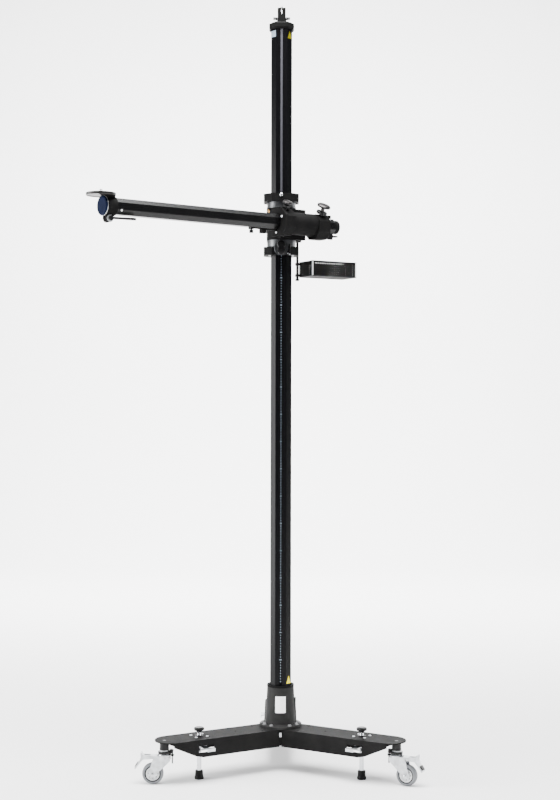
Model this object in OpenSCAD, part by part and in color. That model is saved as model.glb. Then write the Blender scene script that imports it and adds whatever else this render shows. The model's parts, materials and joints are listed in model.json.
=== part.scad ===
// Wheeled studio column stand. Units are millimetres, +Z is up.
// The origin is on the floor, on the column's axis. +X is to the right and -Y is the front.

/* [Base] */
// Width of each folded leg
leg_w = 122; // [110:1:130]
// Distance from the column axis to the round tip of a leg
leg_reach = 503; // [480:1:540]
// Height of the legs' top face
leg_top = 153; // [153:1:153]
// Height of the legs' side plates
leg_h = 62; // [58:1:64]
// Thickness of the legs' sheet
sheet = 4; // [3:0.5:5]
// Distance from the column axis to each caster's swivel
caster_reach = 472; // [465:1:475]
// Distance from the column axis to each levelling foot
foot_reach = 335; // [325:1:345]

/* [Casters] */
// Wheel diameter
wheel_d = 75; // [70:1:76]
// Wheel width
wheel_w = 26; // [22:1:28]
// Offset of the axle behind the swivel
trail = 40; // [36:1:42]
// Directions that the left, right and rear wheels trail towards, in degrees
trail_az = [180, -28, 70];

/* [Column] */
// Width of the column across its flats
column_w = 76.7; // [70:0.1:80]
// Size of the column's corner chamfers
column_chamfer = 17.8; // [12:0.1:20]
// Wall thickness of the column
column_wall = 4; // [3:0.5:5]
// Height of the column's upper end
column_top = 2716; // [2400:1:2800]

/* [Carriage] */
// Height of the arm's axis at rest
arm_z = 1991.5; // [1700:0.5:2100]
// Diameter of the rotating turret
turret_d = 108; // [106:1:110]
// Width of the square collars
collar_w = 129; // [126:1:130]

/* [Arm] */
// Direction of the arm, in degrees
arm_az = 216.87; // [180:0.01:270]
// Distance from the column axis to the arm's axis
arm_off = 97; // [96:1:100]
// Width of the arm across its flats
arm_w = 55; // [50:1:56]
// Reach of the arm tube from the nearest point to the column
arm_front = 768; // [600:1:800]
// Length of the arm tube behind that point
arm_back = 158; // [150:1:160]

/* [Tray] */
// Length, depth and height of the tray
tray_size = [190, 94, 56];
// Direction of the tray's long side, in degrees
tray_az = 30; // [10:1:40]

/* [Hidden] */
$fn = 64;

LEFT = 0;
RIGHT = 1;
REAR = 2;
// Directions of the left, right and rear legs, and the side that each latch lever comes out of
leg_az = [210, -30, 90];
latch_side = [1, -1, 1];

eps = 0.01;
gap = 0.3;          // clearance between pieces that move past each other
fit = 0.06;         // radial clearance of a running fit

leg_gap = 3.6;      // half the seam between two legs
side_end = 461;     // where the side plates end
side_ramp = 378;
side_flat = 349;
ramp_low = 17;
sleeve_d = 33;
sleeve_bottom = 120;
flange_r = 77.5;
flange_top = 163;
bolt_ring = 67;
housing_top = 305;
boss_x = 43;
boss_h = 94;
housing_bore = 45.5;
bush_in = 43.75;    // clears the corners of the column
plate_top = leg_top - sheet;
plate_t = 9;

wheel_r = wheel_d / 2;
axle_r = 5;
cheek = 2.5;
cheek_y = wheel_w / 2 + 1.5;
race_top = 119.7;
crown_top = 103;
crown_bottom = 92;
pedal_x = 31;
pedal_z = 96;
pin_r = 2;
stem_r = 6;

rod_r = 8;
knob_z = 168;
rubber_h = 31;
latch_z = 119;
latch_t = 2.5;
slot_half = 30;
latch_in = 22;

column_bottom = 167;
groove_w = 10.5;
groove_d = 7;
half_col = column_w / 2;
pulley_y = -20.5;
pulley_z = 2719;
pulley_r = 15.5;
band_t = 1;
band_w = 8;
cap_w = 91.8;
cap_bottom = 2713;
cap_rim = 2720;
cap_shoulder = 2731.5;
cap_top = 2740.5;
socket_w = 30;
socket_top = 2794.5;
socket_floor = 2761.5;
wing_z = 2757.5;
weight_z = [600, 1100];

collar_h = 30;
upper_z = 2078;
lower_z = 1883;
drum_z = [1939, 2056];
sleeve_r = 48;
sleeve_in = column_w + 1.4;
lock_z = 1906;
anchor_z = 2100;
ring_r = 52.5;      // bright bearing rings above and below the turret
collar_chamfer = 30;

arm_chamfer = 15.5;
head_r = 41;
frame_w = 115;
frame_h = 100;
frame_front = 96;
frame_back = 46;
head_back = -68;
collar_back = -118;
collar_size = 91;
collar_drop = 6;     // the rear collar reaches further below the arm than above it
tongue_end = 214;
plunger_s = 206;
head_knob_s = 74;
rear_knob_s = -92;
knob_tilt = 30;     // the arm's clamp knobs lean away from the column
knob_from = 33;

hub_r = 33.5;
hub_back = arm_front + gap;
hub_front = 807;
spigot_r = 22;
plate_s = 815;
plate_r = 49;
plate_z = 33.8;
disc_t = 7.5;
ears_z = -41;
ears_s = 788;
ear_r = 13;
lever_len = 95;

bar_x = 60.3;
bar_y = 86;
bar_r = 5;
tray_z = 1812;
tray_wall = 2;
tray_ring = 10;
bracket_z = 1942;

module chamfered(w, c, h, d = 0) {
  a = w / 2;
  b = d > 0 ? d / 2 : a;
  linear_extrude(h)
    polygon([[a, c - b], [a, b - c], [a - c, b], [c - a, b],
      [-a, b - c], [-a, c - b], [c - a, -b], [a - c, -b]]);
}

module in_leg(i) rotate([0, 0, leg_az[i]]) children();

module at_caster(i)
  in_leg(i) translate([caster_reach, 0, 0]) rotate([0, 0, trail_az[i] - leg_az[i]]) children();

module at_foot(i) in_leg(i) translate([foot_reach, 0, 0]) children();

// Frame on the arm's axis: x along the arm towards the camera platform, y away from the column
module at_arm(s = 0, n = 0, z = 0) rotate([0, 0, arm_az]) translate([s, arm_off + n, arm_z + z]) children();

module along_x(r, h) rotate([0, 90, 0]) cylinder(r = r, h = h);

module ring(ro, ri, h) {
  difference() {
    cylinder(r = ro, h = h);
    translate([0, 0, -1]) cylinder(r = ri, h = h + 2);
  }
}

// ---- Base ----

module leg_outline(inset) {
  w = leg_w / 2 - inset;
  root = leg_gap / sin(60) + inset / sin(60);
  difference() {
    union() {
      translate([0, -w]) square([leg_reach - leg_w / 2, 2 * w]);
      translate([leg_reach - leg_w / 2, 0]) circle(r = w);
    }
    for (s = [-1, 1]) translate([root, 0]) rotate(s * 60)
      translate([-200, s > 0 ? 0 : -200]) square([400, 200]);
  }
}

module side_profile() {
  h = leg_top - leg_h;
  polygon([[0, leg_top], [0, h], [side_flat, h], [side_ramp, h + 7], [side_end, leg_top - ramp_low],
    [side_end, leg_top]]);
}

module one_leg(side) {
  difference() {
    union() {
      translate([0, 0, leg_top - sheet]) linear_extrude(sheet) leg_outline(0);
      for (s = [-1, 1]) intersection() {
        translate([0, s * (leg_w - sheet) / 2 + sheet / 2, 0]) rotate([90, 0, 0])
          linear_extrude(sheet) side_profile();
        translate([0, 0, leg_top - leg_h - 1]) linear_extrude(leg_h + 2) leg_outline(0);
      }
    }
    for (a = [-30, 0, 30]) rotate([0, 0, a]) translate([bolt_ring, 0, leg_top - 20]) cylinder(r = 4.2, h = 40);
    translate([foot_reach, 0, leg_top - 20]) cylinder(r = rod_r + 0.6, h = 40);
    translate([caster_reach, 0, leg_top - 20]) cylinder(r = stem_r + fit, h = 40);
    translate([foot_reach - slot_half, side * leg_w / 2 - 6, latch_z - 11]) cube([2 * slot_half, 12, 24]);
  }
}

module base_legs() color("#2c2c2e") for (i = [LEFT, RIGHT, REAR]) in_leg(i) one_leg(latch_side[i]);

module base_hub_plate() {
  color("#444446") difference() {
    translate([0, 0, plate_top - plate_t]) cylinder(r = flange_r - 2, h = plate_t);
    for (i = [LEFT, RIGHT, REAR]) in_leg(i) {
      for (s = [-1, 1]) translate([30, s * leg_w / 2 - (s > 0 ? sheet + gap : 4), 0])
        cube([80, sheet + gap + 4, 400]);
      for (a = [-30, 0, 30]) rotate([0, 0, a]) translate([bolt_ring, 0, 100]) cylinder(r = 4, h = 100);
    }
  }
}

module flange_bolts() {
  color("#b9babd") for (i = [LEFT, RIGHT, REAR], a = [-30, 0, 30]) in_leg(i) rotate([0, 0, a])
    translate([bolt_ring, 0, plate_top - plate_t]) {
      cylinder(r = 4 - fit, h = flange_top - plate_top + plate_t + 1);
      translate([0, 0, flange_top - plate_top + plate_t]) cylinder(r = 6.2, h = 5.5);
    }
}

module column_housing() {
  color("#3b3c3e") difference() {
    union() {
      rotate_extrude() polygon([[0, leg_top], [flange_r, leg_top], [flange_r, flange_top - 1.5],
        [flange_r - 1.5, flange_top], [58, flange_top], [55.5, flange_top + 4], [49.5, housing_top - 14],
        [49.2, housing_top - 1], [48.2, housing_top], [0, housing_top]]);
      translate([30, -14, flange_top - 1]) cube([boss_x - 30, 28, boss_h]);
      translate([boss_x, 0, flange_top - 1]) cylinder(r = 14, h = boss_h);
    }
    translate([0, 0, column_bottom - 1]) cylinder(r = housing_bore, h = 300);
    translate([0, 0, housing_top - 20]) cylinder(r = 46.6, h = 30);
    for (i = [LEFT, RIGHT, REAR], a = [-30, 0, 30]) in_leg(i) rotate([0, 0, a])
      translate([bolt_ring, 0, 100]) cylinder(r = 4, h = 100);
    translate([boss_x + 4, 0, 235]) along_x(5, 40);
  }
}

module housing_bushes() {
  color("#8d8f92") {
    translate([0, 0, column_bottom - 1]) ring(housing_bore, bush_in, 22);
    translate([0, 0, housing_top - 20]) ring(46.6, bush_in, 18);
  }
}

module caster_sleeves() {
  color("#151516") for (i = [LEFT, RIGHT, REAR]) in_leg(i) translate([caster_reach, 0, 0]) difference() {
    union() {
      translate([0, 0, sleeve_bottom]) cylinder(d = sleeve_d, h = plate_top - sleeve_bottom);
      translate([0, 0, plate_top]) cylinder(r = stem_r, h = sheet);
    }
    translate([0, 0, sleeve_bottom - 1]) cylinder(r = stem_r + fit, h = 27);
  }
}

module foot_guides() {
  color("#202022") for (i = [LEFT, RIGHT, REAR]) at_foot(i) {
    difference() {
      translate([-27, -27, plate_top - 18]) cube([54, 54, 18]);
      translate([0, 0, 100]) cylinder(r = rod_r + fit, h = 100);
      for (x = [-22, 22], y = [-21, 21]) translate([x, y, 120]) cylinder(r = 2.5, h = 100);
    }
    // Bearings of the latch lever
    for (x = [-27, 21]) difference() {
      translate([x, latch_side[i] > 0 ? -27 : 17, latch_z - 4])
        cube([6, 10, plate_top - 14 - latch_z + eps]);
      translate([x - 1, -latch_side[i] * latch_in, latch_z + latch_t / 2]) along_x(pin_r + fit, 8);
    }
  }
}

// ---- Casters ----

// Swivel head, crown, two cheeks and the riveted axle
module fork(i) {
  side = cheek_y + cheek;
  color("#c9ccd1") at_caster(i) {
    translate([0, 0, race_top - 4]) cylinder(r = 15, h = 4);
    translate([0, 0, crown_top - 1]) cylinder(r = 18, h = race_top - crown_top - 3 + eps);
    translate([0, 0, crown_bottom]) cylinder(r = 22, h = crown_top - crown_bottom);
    translate([-22, -side, crown_bottom]) cube([38, 2 * side, 4]);
    for (s = [-1, 1]) translate([0, s * (cheek_y + cheek / 2) + cheek / 2, 0]) rotate([90, 0, 0])
      linear_extrude(cheek) polygon([[-22, crown_bottom + 4], [-22, 84], [trail - 17, wheel_r + 4],
        [trail - 12, wheel_r - 8], [trail, wheel_r - 13], [trail + 12, wheel_r - 7], [trail + 14, wheel_r + 6],
        [trail + 6, 68], [pedal_x + 8, pedal_z - 6], [pedal_x + 8, pedal_z + 5], [16, pedal_z + 5],
        [10, crown_bottom + 4]]);
    translate([pedal_x, 0, pedal_z]) rotate([90, 0, 0]) cylinder(r = pin_r, h = 2 * side, center = true);
    translate([0, 0, race_top - 1]) cylinder(r = stem_r, h = 24);
    translate([trail, 0, wheel_r]) rotate([90, 0, 0]) cylinder(r = axle_r, h = 2 * side + 8, center = true);
    for (s = [-1, 1]) translate([trail, s * (side + 1.5), wheel_r]) rotate([90, 0, 0])
      cylinder(r = 8, h = 3 + eps, center = true, $fn = 6);
  }
}

module tyre(i) {
  color("#8b8d90") at_caster(i) translate([trail, 0, wheel_r]) rotate([90, 0, 0]) rotate_extrude()
    polygon([[24, -wheel_w / 2 + 2], [wheel_r - 5, -wheel_w / 2], [wheel_r - 1.4, -wheel_w / 2 + 3],
      [wheel_r, -wheel_w / 2 + 8], [wheel_r, wheel_w / 2 - 8], [wheel_r - 1.4, wheel_w / 2 - 3],
      [wheel_r - 5, wheel_w / 2], [24, wheel_w / 2 - 2]]);
}

module hub(i) {
  color("#e4e5e6") at_caster(i) translate([trail, 0, wheel_r]) rotate([90, 0, 0]) rotate_extrude()
    polygon([[axle_r + fit, -wheel_w / 2 - 0.7], [11, -wheel_w / 2 - 0.7], [12, -5], [20, -5],
      [21, -wheel_w / 2 + 2], [24, -wheel_w / 2 + 2], [24, wheel_w / 2 - 2], [21, wheel_w / 2 - 2], [20, 5], [12, 5],
      [11, wheel_w / 2 + 0.7], [axle_r + fit, wheel_w / 2 + 0.7]]);
}

// Brake pedal: a tray over the wheel with an upturned end, and a lower toe
module pedal(i) {
  w = 2 * cheek_y - 1;
  color("#d5d7da") at_caster(i) difference() {
    rotate([90, 0, 0]) translate([0, 0, -w / 2]) linear_extrude(w) polygon([[25, 91], [25, 101], [74, 103],
      [79, 111.5], [83, 111.5], [82, 95], [88, 80], [104, 57], [100, 54.5], [84, 77], [74, 88], [50, 90]]);
    translate([pedal_x, 0, pedal_z]) rotate([90, 0, 0]) cylinder(r = pin_r + fit, h = 60, center = true);
    translate([48, -8, 99]) cube([22, 16, 20]);
  }
}

// ---- Levelling feet ----

module spindle(i) {
  color("#cfd2d6") at_foot(i) {
    translate([0, 0, 12]) cylinder(r = rod_r, h = knob_z - 4 - 12);
    translate([0, 0, knob_z - 4 - eps]) cylinder(r = 5, h = 8);
    translate([0, 0, knob_z]) rotate_extrude() polygon([[0, 0], [9, 0], [18.5, 7], [18.5, 11], [16, 14.5],
      [9, 17], [0, 17]]);
  }
}

module rubber(i) {
  color("#131314") at_foot(i) difference() {
    rotate_extrude() polygon([[0, 0], [16.3, 0], [16.3, 7], [14.8, 11], [13.8, 13], [13.5, rubber_h - 1],
      [12.5, rubber_h], [0, rubber_h]]);
    translate([0, 0, 12]) cylinder(r = rod_r, h = 40);
  }
}

module latch(i) {
  s = latch_side[i];
  color("#d9dbde") at_foot(i) mirror([0, s > 0 ? 0 : 1, 0]) {
    translate([-26.5, -latch_in, latch_z + latch_t / 2]) along_x(pin_r, 53);
    for (x = [-19, 11]) translate([x, -latch_in, latch_z]) cube([8, latch_in + 12, latch_t]);
    translate([-19, 11, latch_z]) cube([38, 12, latch_t]);
    translate([-12, 22, latch_z]) cube([24, 19, latch_t]);
    translate([-12, 40 - eps, latch_z]) cube([24, 24, latch_t]);
    translate([-26, 63.4, latch_z]) cube([52, 13, latch_t]);
    translate([-26, 74, latch_z - 8]) cube([30, 2.4, 8 + eps]);
  }
}

// ---- Column and its top ----

module column_section(h) {
  inner = column_w - 2 * column_wall;
  rim = 3;
  difference() {
    chamfered(column_w, column_chamfer, h);
    difference() {
      translate([0, 0, -1]) chamfered(inner, column_chamfer - 2.2, h + 2);
      translate([-groove_w / 2 - rim, -half_col, -2]) cube([groove_w + 2 * rim, groove_d + rim, h + 4]);
    }
    translate([-groove_w / 2, -half_col - 1, -1]) cube([groove_w, groove_d + 1, h + 2]);
  }
}

module column_extrusion() {
  color("#1d1d1f") difference() {
    translate([0, 0, column_bottom]) column_section(column_top - column_bottom);
    translate([-7, -half_col - 1, pulley_z - 19]) cube([14, half_col - 1, 40]);
  }
}

module cap_shape() {
  hull() {
    translate([0, 0, cap_bottom]) chamfered(81, 18.5, 1);
    translate([0, 0, cap_rim - 1]) chamfered(cap_w, 21, 1);
  }
  translate([0, 0, cap_rim - 0.5]) chamfered(cap_w, 21, cap_shoulder - cap_rim + 0.5);
  hull() {
    translate([0, 0, cap_shoulder - 1]) chamfered(cap_w, 21, 1);
    translate([0, 0, cap_top - 1]) chamfered(64, 15, 1);
  }
}

module top_cap() {
  color("#2a2b2d") difference() {
    cap_shape();
    translate([0, 0, cap_bottom - 1]) chamfered(column_w, column_chamfer, column_top - cap_bottom + 1);
    translate([-7, pulley_y - 18, cap_bottom - 1]) cube([14, 36, cap_top - 2 - cap_bottom]);
  }
  color("#2a2b2d") translate([-8, pulley_y, pulley_z]) along_x(4, 16);
}

module pulley() {
  color("#9a9ca0") translate([-5, pulley_y, pulley_z]) rotate([0, 90, 0]) ring(pulley_r, 4 + fit, 10);
}

module band_over_pulley() {
  color("#6a6b70") translate([-band_w / 2, pulley_y, pulley_z]) rotate([0, 90, 0]) intersection() {
    ring(pulley_r + gap + band_t, pulley_r + gap, band_w);
    translate([-40, -20, -1]) cube([40, 40, band_w + 2]);
  }
}

module band_front() {
  color("#6a6b70") translate([-band_w / 2, pulley_y - pulley_r - gap - band_t, anchor_z])
    cube([band_w, band_t, pulley_z - anchor_z]);
}

module band_inner() {
  color("#6a6b70") translate([-band_w / 2, pulley_y + pulley_r + gap, weight_z[1]])
    cube([band_w, band_t, pulley_z - weight_z[1]]);
}

module counterweight() {
  color("#5a5a5c") translate([-23, -20, weight_z[0]]) cube([46, 44, weight_z[1] - weight_z[0]]);
}

module top_socket() {
  color("#2f3032") difference() {
    union() {
      translate([0, 0, cap_top]) cylinder(r = 25, h = 3);
      translate([0, 0, cap_top + 3]) chamfered(34, 6, 7);
      translate([0, 0, cap_top + 10]) chamfered(socket_w, 4, socket_top - cap_top - 10);
    }
    translate([0, 0, socket_floor]) cylinder(r = 8, h = 60);
    translate([-2.5, -20, socket_floor + 10]) cube([5, 20, 40]);
    translate([-20, 0, wing_z]) along_x(3 + fit, 40);
  }
}

module top_stud() {
  color("#d0d2d6") translate([0, 0, socket_floor]) {
    cylinder(r = 7.94, h = 26);
    translate([0, 0, 25]) cylinder(r = 4.76, h = 16.5);
  }
}

module wing(s) {
  color("#38393b") mirror([s > 0 ? 0 : 1, 0, 0]) translate([0, 0, wing_z]) {
    translate([9, 0, 0]) along_x(3, 10);
    translate([15.5, 0, 0]) along_x(5.5, 6);
    for (m = [0, 1]) mirror([0, m, 0]) translate([19, 2, -2]) cube([12, 11, 4]);
    translate([17, -5, -2]) cube([13.5, 10, 4]);
  }
}

// ---- Carriage ----

module collar(z) {
  translate([0, 0, z]) difference() {
    chamfered(collar_w, collar_chamfer, collar_h - 1);
    translate([0, 0, -1]) cylinder(r = sleeve_r, h = collar_h + 2);
    for (a = [0, 90, 180, 270]) rotate([0, 0, a]) translate([half_col + 0.2, -14, 3]) cube([18, 28, collar_h - 7]);
  }
}

module upper_collar() {
  color("#333436") difference() {
    collar(upper_z);
    translate([-6, -90, anchor_z - 6]) cube([12, 60, 12]);
  }
}

module lower_collar() {
  color("#333436") difference() {
    collar(lower_z);
    translate([0, -30, lock_z]) rotate([90, 0, 0]) cylinder(r = 5 + fit, h = 60);
  }
}

module carriage_sleeve() {
  color("#9fa2a6") difference() {
    union() {
      translate([0, 0, lower_z]) cylinder(r = sleeve_r, h = upper_z + collar_h - 1 - lower_z);
      translate([0, 0, lower_z + collar_h - 1]) cylinder(r = ring_r, h = drum_z[0] - gap - lower_z - collar_h + 1);
      translate([0, 0, drum_z[1] + gap]) cylinder(r = ring_r, h = upper_z - drum_z[1] - gap);
    }
    translate([0, 0, lower_z - 1]) chamfered(sleeve_in, column_chamfer, 300);
    for (z = [lower_z, upper_z], a = [0, 90, 180, 270]) rotate([0, 0, a])
      translate([half_col - 1, -14, z + 3]) cube([20, 28, collar_h - 7]);
    translate([-6, -90, anchor_z - 6]) cube([12, 60, 12]);
    translate([0, -30, lock_z]) rotate([90, 0, 0]) cylinder(r = 5 + fit, h = 60);
  }
}

module guide_pads() {
  color("#d9d6c8") for (z = [lower_z, upper_z], a = [0, 90, 180, 270]) rotate([0, 0, a]) difference() {
    translate([half_col + 0.25, -14, z + 3]) cube([17.9, 28, collar_h - 7]);
    if (a == 270) {
      translate([0, 0, lock_z]) along_x(5 + fit, 90);
      translate([0, -6, anchor_z - 6]) cube([90, 12, 12]);
    }
  }
}

// Two-lobed knob and washer on the front of the lower collar, which clamp the carriage to the column
module column_lock_knob() {
  front = -collar_w / 2;
  color("#101011") translate([0, 0, lock_z]) rotate([90, 0, 0]) {
    translate([0, 0, half_col + 0.4]) cylinder(r = 5, h = 60 - half_col + 12);
    translate([0, 0, -front + gap]) cylinder(r = 26, h = 2.5);
    translate([0, 0, -front + 2]) cylinder(r = 10, h = 8);
    translate([0, 0, -front + 8]) {
      cylinder(r = 12.5, h = 20);
      for (x = [-15, 15]) translate([0, x, 0]) cylinder(r = 11, h = 20);
    }
  }
}

module band_anchor() {
  y0 = pulley_y - pulley_r - gap - band_t;
  color("#c8cacd") {
    translate([-5.7, -collar_w / 2 + 1, anchor_z - 5.7]) cube([11.4, collar_w / 2 - half_col - 1.3, 11.4]);
    translate([-4, -half_col - 3, anchor_z - 5.7]) cube([8, 3 + half_col + y0, 11.4]);
    translate([0, -collar_w / 2 + 2, anchor_z]) rotate([90, 0, 0]) cylinder(r = 5.5, h = 7, $fn = 32);
  }
}

// ---- Turret and arm head ----

module turret_drum() {
  color("#2e2f31") translate([0, 0, drum_z[0]]) ring(turret_d / 2, sleeve_r + fit, drum_z[1] - drum_z[0]);
}

module arm_hole(extra, from, len) {
  translate([from, 0, 0]) rotate([90, 0, 90]) chamfered(arm_w + extra, arm_chamfer, len);
}

// Axis of a knob that clamps the arm, from a distance off the arm's axis
module clamp_axis(s, from) at_arm(s) rotate([-knob_tilt, 0, 0]) translate([0, 0, from]) children();

module arm_head() {
  color("#262729") {
    difference() {
      at_arm() union() {
        translate([head_back, 0, 0]) along_x(head_r, frame_front - head_back - 6);
        translate([-64, -52, -52]) cube([114, 18, 111]);
        translate([frame_back, 0, 0]) rotate([90, 0, 90]) chamfered(frame_w - 6, 28, 40, frame_h - 6);
        translate([frame_back + 38, 0, 0]) rotate([90, 0, 90])
          chamfered(frame_w, 28, frame_front - frame_back - 38, frame_h);
      }
      at_arm() arm_hole(2 * gap, head_back - 1, 300);
      translate([0, 0, 1800]) cylinder(d = turret_d, h = 400);
      clamp_axis(head_knob_s, 20) cylinder(r = 4 + fit, h = 60);
    }
    at_arm() translate([145, -9, -arm_w / 2 - gap - 17]) cube([20, 18, 14 + eps]);
    at_arm() difference() {
      union() {
        translate([frame_front - eps, -7, -arm_w / 2 - gap - 3]) cube([tongue_end - frame_front, 14, 3]);
        translate([plunger_s - 6, -7, -arm_w / 2 - gap - 6]) cube([14, 14, 4]);
      }
      translate([plunger_s, 0, -60]) cylinder(r = 3 + fit, h = 60);
    }
  }
}

module rear_collar() {
  color("#323335") difference() {
    at_arm(collar_back, 0, -collar_drop) rotate([90, 0, 90]) chamfered(collar_size, 26, head_back - collar_back);
    at_arm() arm_hole(2 * gap, collar_back - 1, 60);
    clamp_axis(rear_knob_s, 20) cylinder(r = 4 + fit, h = 60);
  }
}

module mushroom(r, h, stem) {
  cylinder(r = 4, h = stem + 2);
  translate([0, 0, stem]) rotate_extrude() polygon([[0, 0], [r * 0.55, 0], [r, h * 0.35], [r, h * 0.65],
    [r * 0.8, h * 0.92], [0, h]]);
}

module head_knob() {
  color("#9a9b9d") clamp_axis(head_knob_s, knob_from) mushroom(18, 14, 38);
}

module rear_knob() {
  color("#9a9b9d") clamp_axis(rear_knob_s, knob_from) mushroom(24.5, 15, 38);
}

module plunger() {
  color("#141415") at_arm() translate([plunger_s, 0, -arm_w / 2 - gap - 8]) {
    cylinder(r = 3, h = 7.5);
    translate([0, 0, -11]) cylinder(r = 6.5, h = 11);
  }
}

module tray_bar() {
  a = atan2(bar_y, bar_x);
  r = sqrt(bar_x * bar_x + bar_y * bar_y);
  color("#26272a") {
    rotate([0, 0, a]) difference() {
      union() {
        for (z = [bracket_z, bracket_z + 96]) translate([turret_d / 2 - 3, -12, z]) cube([14, 24, 12]);
        translate([turret_d / 2 + 8, -12, bracket_z]) cube([r - turret_d / 2, 24, 12]);
        translate([turret_d / 2 + 8, -12, bracket_z]) cube([6, 24, 108]);
      }
      translate([0, 0, 1900]) cylinder(d = turret_d, h = 200);
    }
    translate([bar_x, bar_y, tray_z - 5]) cylinder(r = bar_r, h = bracket_z + 6 - tray_z);
  }
}

// ---- Arm and camera platform ----

module arm_tube() {
  color("#18181a") at_arm() difference() {
    arm_hole(0, -arm_back, arm_front + arm_back);
    translate([-arm_back - 1, 0, 0]) rotate([90, 0, 90])
      chamfered(arm_w - 7, arm_chamfer - 1.5, arm_front + arm_back + 2);
  }
}

module arm_end_plugs() {
  color("#77797c") at_arm() {
    translate([arm_front - 60, 0, 0]) rotate([90, 0, 90]) chamfered(arm_w - 7.1, arm_chamfer - 1.5, 60);
    translate([arm_front - 1, 0, 0]) along_x(spigot_r, hub_front - arm_front + 1);
    translate([-arm_back - 2, 0, 0]) rotate([90, 0, 90]) chamfered(arm_w - 7.1, arm_chamfer - 1.5, 14);
    translate([-arm_back - 22, 0, 0]) along_x(25, 21);
  }
}

module platform_hub() {
  color("#47464a") at_arm() difference() {
    union() {
      translate([hub_back, 0, 0]) along_x(hub_r, hub_front - gap - hub_back);
      translate([hub_back + 4, -20, 16]) cube([hub_front - hub_back - 6, 40, plate_z - 16]);
      for (y = [-13, 3]) translate([ears_s, y, ears_z]) {
        rotate([-90, 0, 0]) cylinder(r = ear_r, h = 10);
        translate([-ear_r, 0, 0]) cube([2 * ear_r, 10, 20]);
      }
    }
    translate([700, 0, 0]) along_x(spigot_r + fit, 200);
    translate([700, -3, -80]) cube([200, 6, 70]);
    translate([ears_s, 0, ears_z]) rotate([90, 0, 0]) cylinder(r = 4 + fit, h = 60, center = true);
  }
}

module platform_end_cap() {
  color("#2c3a5c") at_arm() translate([hub_front, 0, 0]) rotate([0, 90, 0])
    rotate_extrude() polygon([[0, 0], [hub_r - gap, 0], [hub_r - gap, 4], [hub_r - 3, 8], [0, 8]]);
}

module platform_plate() {
  color("#8e9093") at_arm() translate([plate_s, 0, plate_z]) difference() {
    rotate_extrude() polygon([[0, 0], [plate_r - 1, 0], [plate_r, 1], [plate_r, disc_t - 1], [plate_r - 1, disc_t],
      [0, disc_t]]);
    translate([0, 0, -1]) cylinder(r = 4, h = 20);
    translate([0, 0, disc_t - 1]) cylinder(r = 5.4, h = 2);
  }
}

module camera_screw() {
  color("#cfd1d4") at_arm() translate([plate_s, 0, plate_z]) {
    cylinder(r = 4, h = disc_t);
    translate([0, 0, disc_t - eps]) cylinder(r = 4.76, h = 13 + eps);
  }
}

module clamp_lever() {
  color("#101112") at_arm() translate([ears_s, 0, ears_z]) {
    rotate([90, 0, 0]) cylinder(r = 4, h = 40, center = true);
    translate([0, 20, 0]) rotate([90, 0, 0]) cylinder(r = 8, h = 6.5, center = true);
    translate([0, -18, 0]) rotate([90, 0, 0]) cylinder(r = 7, h = 8, center = true, $fn = 6);
    translate([0, 20, 0]) rotate([0, -88.5, 0]) cylinder(r = 4, h = lever_len);
  }
}

// ---- Tray ----

module tray_basket() {
  l = tray_size[0];
  d = tray_size[1];
  h = tray_size[2];
  pitch = 24;
  window = 18;
  color("#1b1b1d") translate([bar_x, bar_y, tray_z]) difference() {
    rotate([0, 0, tray_az]) {
      translate([tray_ring, -d, 0]) difference() {
        cube([l, d, h]);
        translate([tray_wall, tray_wall, tray_wall]) cube([l - 2 * tray_wall, d - 2 * tray_wall, h]);
        for (x = [14:pitch:l - window], z = [10, 30]) translate([x, -5, z]) cube([window, d + 10, 14]);
        for (y = [14:pitch:d - window - 8], z = [10, 30]) translate([-5, y, z]) cube([l + 10, window, 14]);
      }
      for (z = [2, h - 12]) {
        translate([0, -7, z]) cube([tray_ring + tray_wall / 2, 6, 9]);
        translate([0, 0, z]) cylinder(r = 9, h = 9);
      }
    }
    translate([0, 0, -1]) cylinder(r = bar_r + fit, h = h + 2);
  }
}

base_legs();
base_hub_plate();
flange_bolts();
column_housing();
housing_bushes();
caster_sleeves();
foot_guides();
fork(LEFT);  // caster_fork_left
fork(RIGHT);  // caster_fork_right
fork(REAR);  // caster_fork_rear
tyre(LEFT);  // caster_tyre_left
tyre(RIGHT);  // caster_tyre_right
tyre(REAR);  // caster_tyre_rear
hub(LEFT);  // caster_hub_left
hub(RIGHT);  // caster_hub_right
hub(REAR);  // caster_hub_rear
pedal(LEFT);  // caster_pedal_left
pedal(RIGHT);  // caster_pedal_right
pedal(REAR);  // caster_pedal_rear
spindle(LEFT);  // foot_spindle_left
spindle(RIGHT);  // foot_spindle_right
spindle(REAR);  // foot_spindle_rear
rubber(LEFT);  // foot_rubber_left
rubber(RIGHT);  // foot_rubber_right
rubber(REAR);  // foot_rubber_rear
latch(LEFT);  // foot_latch_left
latch(RIGHT);  // foot_latch_right
latch(REAR);  // foot_latch_rear
column_extrusion();
top_cap();
pulley();
band_over_pulley();
band_front();
band_inner();
counterweight();
top_socket();
top_stud();
wing(-1);  // wing_screw_left
wing(1);  // wing_screw_right
upper_collar();
lower_collar();
carriage_sleeve();
guide_pads();
column_lock_knob();
band_anchor();
turret_drum();
arm_head();
rear_collar();
head_knob();
rear_knob();
plunger();
tray_bar();
arm_tube();
arm_end_plugs();
platform_hub();
platform_plate();
platform_end_cap();
clamp_lever();
tray_basket();
camera_screw();
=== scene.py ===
"""Looks of the wheeled column stand: finishes for the CAD parts, small trim, stage and camera."""

import json
import math

import bmesh
import bpy
from mathutils import Matrix, Vector


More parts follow.
